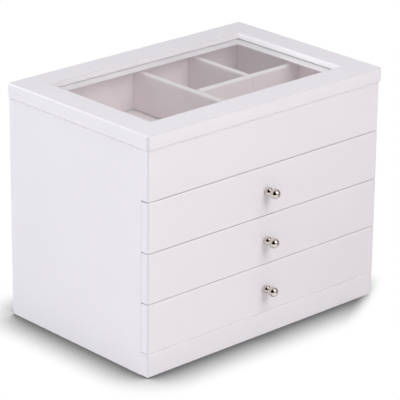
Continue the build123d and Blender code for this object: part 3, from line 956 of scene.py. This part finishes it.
def knob_outline(front_centre):
    """Points of the knob's outline as (distance from the drawer, radius), from the drawer to the tip."""
    rear_start = math.acos(-rear_centre / rear_radius)
    rear_end = math.asin(neck_radius / rear_radius)
    front_start = math.pi - math.asin(neck_radius / front_radius)
    points = []
    for step in range(rear_steps + 1):
        angle = rear_start + (rear_end - rear_start) * step / rear_steps
        points.append((rear_centre + rear_radius * math.cos(angle), rear_radius * math.sin(angle)))
    for step in range(front_steps + 1):
        angle = front_start * (1 - step / front_steps)
        points.append((front_centre + front_radius * math.cos(angle), front_radius * math.sin(angle)))
    return points


for number in (1, 2, 3):
    body = f"drawer_{number}"
    low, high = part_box(f"{body}_knob")
    face_y, knob_z = high.y, (low.z + high.z) / 2
    bm = bmesh.new()
    outline = knob_outline(high.y - low.y - front_radius)
    chain = [bm.verts.new((0, face_y - out, knob_z + radius)) for out, radius in outline]
    lines = [bm.edges.new(pair) for pair in zip(chain, chain[1:])]
    bmesh.ops.spin(
        bm,
        geom=[*chain, *lines],
        cent=(0, face_y, knob_z),
        axis=(0, -1, 0),
        angle=2 * math.pi,
        steps=48,
        use_merge=True,
    )
    bmesh.ops.remove_doubles(bm, verts=bm.verts, dist=WELD)
    open_rim = [edge for edge in bm.edges if edge.is_boundary]
    bmesh.ops.holes_fill(bm, edges=open_rim, sides=0)
    knob = make_piece(bm, f"{body}_ball_knob", body, "polished_nickel")
    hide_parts(f"{body}_knob")
    print("made", knob.name, "faces:", len(knob.data.polygons))

# %% [markdown]
# ## Floor and background
# The photograph stands on white that has no horizon, with a soft grey shadow close round the box's foot. The
# floor shows itself to the camera as plain white, darkened only where the box shuts out the light near it,
# which Ambient Occlusion finds. In the photograph the shadow ends at the box's right corner, where the light
# comes in, so it fades out past a slanted line there. To the light it is an ordinary pale floor that throws
# some back on the box.

# %% Floor: the box's soft shadow
shadow_reach = 45 * MM
past_right_corner = (0.731, -1.233, 0.0)
shadow_fades = (206 * MM, 232 * MM)

floor_material, tree = new_material("pale_studio_floor")
nearness = add_node(tree, "ShaderNodeAmbientOcclusion", {"samples": 16}, {"Distance": shadow_reach})
shadow = add_node(
    tree,
    "ShaderNodeMapRange",
    inputs={"Value": nearness.outputs["AO"], "From Min": 0.5, "From Max": 0.97, "To Min": 0.16, "To Max": 1.0},
)
floor_place = add_node(tree, "ShaderNodeTexCoord").outputs["Object"]
past_corner = add_node(
    tree, "ShaderNodeVectorMath", {"operation": "DOT_PRODUCT"}, {0: floor_place, 1: past_right_corner}
)
open_end = add_node(
    tree,
    "ShaderNodeMapRange",
    {"interpolation_type": "SMOOTHSTEP"},
    {"Value": past_corner.outputs["Value"], "From Min": shadow_fades[0], "From Max": shadow_fades[1]},
)
shade = add_node(tree, "ShaderNodeMath", {"operation": "SUBTRACT", "use_clamp": True}, {0: 1.0, 1: shadow})
lit_end = add_node(tree, "ShaderNodeMath", {"operation": "MULTIPLY_ADD"}, {0: shade, 1: open_end, 2: shadow})
print("the shadow reaches", round(shadow_reach / MM), "mm")

# %% [markdown]
# ## The floor in a mirror
# The knobs mirror the floor, and in the photograph it is greyer on their right. So mirror rays see it dimmer
# towards the right. A ray that glass has bent also counts as glossy, so transmitted rays are taken off again:
# through the open lid the floor must stay white.

# %% Floor: what each ray sees
floor_size = 6.0
mirror_dim = 0.6

rays = add_node(tree, "ShaderNodeLightPath")
floor_parts = add_node(tree, "ShaderNodeSeparateXYZ", inputs={"Vector": floor_place})
far_right = add_node(
    tree,
    "ShaderNodeMapRange",
    {"interpolation_type": "SMOOTHSTEP"},
    {"Value": floor_parts.outputs["X"], "From Min": 20 * MM, "From Max": 180 * MM, "To Max": mirror_dim},
)
mirror_ray = add_node(
    tree,
    "ShaderNodeMath",
    {"operation": "SUBTRACT", "use_clamp": True},
    {0: rays.outputs["Is Glossy Ray"], 1: rays.outputs["Is Transmission Ray"]},
)
dimmed = add_node(tree, "ShaderNodeMath", {"operation": "MULTIPLY"}, {0: far_right, 1: mirror_ray})
seen_floor = add_node(tree, "ShaderNodeMath", {"operation": "SUBTRACT"}, {0: lit_end, 1: dimmed})
shown_floor = add_node(tree, "ShaderNodeEmission", inputs={"Color": seen_floor})
lit_floor = add_node(tree, "ShaderNodeBsdfDiffuse", inputs={"Color": linear("#C4C3C3")})
floor_mix = add_node(
    tree,
    "ShaderNodeMixShader",
    inputs={
        0: rays.outputs["Is Diffuse Ray"],
        1: shown_floor,
        2: lit_floor,
    },
)
add_node(tree, "ShaderNodeOutputMaterial", inputs={"Surface": floor_mix})

bm = bmesh.new()
bmesh.ops.create_circle(bm, cap_ends=True, segments=64, radius=floor_size)
floor_mesh = bpy.data.meshes.new("floor")
bm.to_mesh(floor_mesh)
bm.free()
floor_mesh.materials.append(floor_material)
floor = bpy.data.objects.new("floor", floor_mesh)
bpy.context.scene.collection.objects.link(floor)
print("floor is", 2 * floor_size, "m across")

# %% [markdown]
# ## Light
# A soft, even surround gives about half of the light. The rest comes from soft lamps, the strongest in front,
# one overhead, one low on the left that keeps that side bright, a weak one behind and a small reflector in
# front. To the camera and through the glass the surround is plain white. The knobs mirror it, so for mirror
# rays it is a white tent that is greyer towards the front and the right. White boards face each other in the
# tray, so light may bounce ten times.

# %% Tent that mirror rays see
world = bpy.data.worlds.new("studio")
bpy.context.scene.world = world
world.use_nodes = True
tree = world.node_tree
tree.nodes.clear()
outward = add_node(tree, "ShaderNodeTexCoord").outputs["Generated"]
outward_parts = add_node(tree, "ShaderNodeSeparateXYZ", inputs={"Vector": outward})
towards_back = add_node(
    tree,
    "ShaderNodeMapRange",
    {"interpolation_type": "SMOOTHSTEP"},
    {"Value": outward_parts.outputs["Y"], "From Min": -0.5, "From Max": 0.3},
)
tent_colour = add_node(
    tree,
    "ShaderNodeMix",
    {"data_type": "RGBA"},
    {"Factor": towards_back, MIX_A: linear("#C9C0BC"), MIX_B: linear("#CCCACC")},
)
towards_right = add_node(
    tree,
    "ShaderNodeMapRange",
    {"interpolation_type": "SMOOTHSTEP"},
    {"Value": outward_parts.outputs["X"], "From Min": 0.45, "From Max": 0.85},
)
shaded_tent = add_node(
    tree,
    "ShaderNodeMix",
    {"data_type": "RGBA"},
    {"Factor": towards_right, MIX_A: tent_colour.outputs[MIX_OUT], MIX_B: linear("#8F8788")},
)
tent = add_node(tree, "ShaderNodeBackground", inputs={"Color": shaded_tent.outputs[MIX_OUT], "Strength": 1.0})
print("tent ready")

# %% Surround: what each ray sees
soft_strength = 0.42
most_bounces = 10

rays = add_node(tree, "ShaderNodeLightPath")
soft_light = add_node(
    tree, "ShaderNodeBackground", inputs={"Color": linear("#F8FBFF"), "Strength": soft_strength}
)
white_background = add_node(tree, "ShaderNodeBackground", inputs={"Color": linear("#FFFFFF"), "Strength": 1.0})
mirrored_surround = add_node(
    tree, "ShaderNodeMixShader", inputs={0: rays.outputs["Is Glossy Ray"], 1: soft_light, 2: tent}
)
before_bounce = add_node(
    tree, "ShaderNodeMath", {"operation": "LESS_THAN"}, {0: rays.outputs["Diffuse Depth"], 1: 0.5}
)
through_glass = add_node(
    tree,
    "ShaderNodeMath",
    {"operation": "MULTIPLY"},
    {0: rays.outputs["Is Transmission Ray"], 1: before_bounce},
)
in_view = add_node(
    tree, "ShaderNodeMath", {"operation": "MAXIMUM"}, {0: rays.outputs["Is Camera Ray"], 1: through_glass}
)
surround = add_node(
    tree,
    "ShaderNodeMixShader",
    inputs={
        0: in_view,
        1: mirrored_surround,
        2: white_background,
    },
)
add_node(tree, "ShaderNodeOutputWorld", inputs={"Surface": surround})
bpy.context.scene.cycles.diffuse_bounces = most_bounces
print("surround ready")

# %% Lamps
lamp_aim = Vector((0, 0, 110)) * MM


def add_softbox(name, place, width, height, brightness, colour):
    """An area lamp aimed at the box, by how bright it makes a white card that faces it there."""
    away = Vector(place) - lamp_aim
    lamp = bpy.data.lights.new(name, "AREA")
    lamp.shape = "RECTANGLE"
    lamp.size, lamp.size_y = width, height
    lamp.energy = brightness * math.pi**2 * away.length_squared
    lamp.color = linear(colour)[:3]
    softbox = bpy.data.objects.new(name, lamp)
    softbox.location = place
    softbox.rotation_mode = "QUATERNION"
    softbox.rotation_quaternion = (-away).to_track_quat("-Z", "Y")
    softbox.visible_glossy = False
    bpy.context.scene.collection.objects.link(softbox)


add_softbox("softbox_overhead", (-0.05, -0.6, 1.4), 0.9, 0.9, 0.24, "#F8F8FF")
add_softbox("softbox_front", (0.1, -1.25, 1.25), 1.1, 0.9, 0.41, "#FFFCFB")
add_softbox("softbox_left", (-1.6, 0.1, 0.3), 1.2, 0.45, 0.345, "#F6F9FF")
add_softbox("softbox_back", (-0.65, 0.5, 0.9), 0.6, 0.6, 0.12, "#F4F6FF")
add_softbox("reflector_front", (-0.75, -1.05, 0.36), 0.7, 0.35, 0.1, "#FFF9F8")

# %% [markdown]
# ## What the knobs mirror
# A polished ball shows the whole studio. In the photograph each knob shows a dark triangle, the opening that
# the camera looks through, and one round bright spot, a diffuser. Both are flat pieces that only mirror rays
# see. Each is placed by a direction as seen from the camera, across, up and towards it.

# %% Dark opening in the tent
opening_distance = 0.9
view_right = Vector((math.cos(view_azimuth), math.sin(view_azimuth), 0))
view_up = towards_camera.cross(view_right)
knob_place = Vector((0, -106, 95)) * MM
opening_corners = [(-0.27, 0.87, 0.41), (-0.72, -0.53, 0.46), (0.44, -0.55, 0.70)]


def seen_from_camera(across, up, near):
    """A direction of length 1 from its parts across the view, up, and towards the camera."""
    return (view_right * across + view_up * up + towards_camera * near).normalized()


dark_opening, tree = new_material("dark_studio_opening")
dark = add_node(tree, "ShaderNodeEmission", inputs={"Color": linear("#050404"), "Strength": 1.0})
add_node(tree, "ShaderNodeOutputMaterial", inputs={"Surface": dark})
bm = bmesh.new()
corners = [
    bm.verts.new(knob_place + seen_from_camera(*corner) * opening_distance) for corner in opening_corners
]
bm.faces.new(corners)
opening_mesh = bpy.data.meshes.new("tent_opening")
bm.to_mesh(opening_mesh)
bm.free()
opening_mesh.materials.append(dark_opening)
opening = bpy.data.objects.new("tent_opening", opening_mesh)
bpy.context.scene.collection.objects.link(opening)
opening.visible_camera = opening.visible_diffuse = opening.visible_shadow = opening.visible_transmission = False
print("opening is", opening_distance, "m from the knobs")

# %% Round diffuser
diffuser_middle = (0.62, 0.44, 0.65)
diffuser_radius = 0.33

diffuser_white, tree = new_material("lit_diffuser")
glow = add_node(tree, "ShaderNodeEmission", inputs={"Color": linear("#FFFFFF"), "Strength": 2.0})
add_node(tree, "ShaderNodeOutputMaterial", inputs={"Surface": glow})
outwards = seen_from_camera(*diffuser_middle)
bm = bmesh.new()
bmesh.ops.create_circle(bm, cap_ends=True, segments=48, radius=diffuser_radius)
diffuser_mesh = bpy.data.meshes.new("diffuser")
bm.to_mesh(diffuser_mesh)
bm.free()
diffuser_mesh.materials.append(diffuser_white)
diffuser = bpy.data.objects.new("diffuser", diffuser_mesh)
diffuser.location = knob_place + outwards * opening_distance
diffuser.rotation_mode = "QUATERNION"
diffuser.rotation_quaternion = outwards.to_track_quat("Z", "Y")
bpy.context.scene.collection.objects.link(diffuser)
diffuser.visible_camera = diffuser.visible_diffuse = diffuser.visible_shadow = diffuser.visible_transmission = False
print("diffuser is", diffuser_radius, "m in radius")
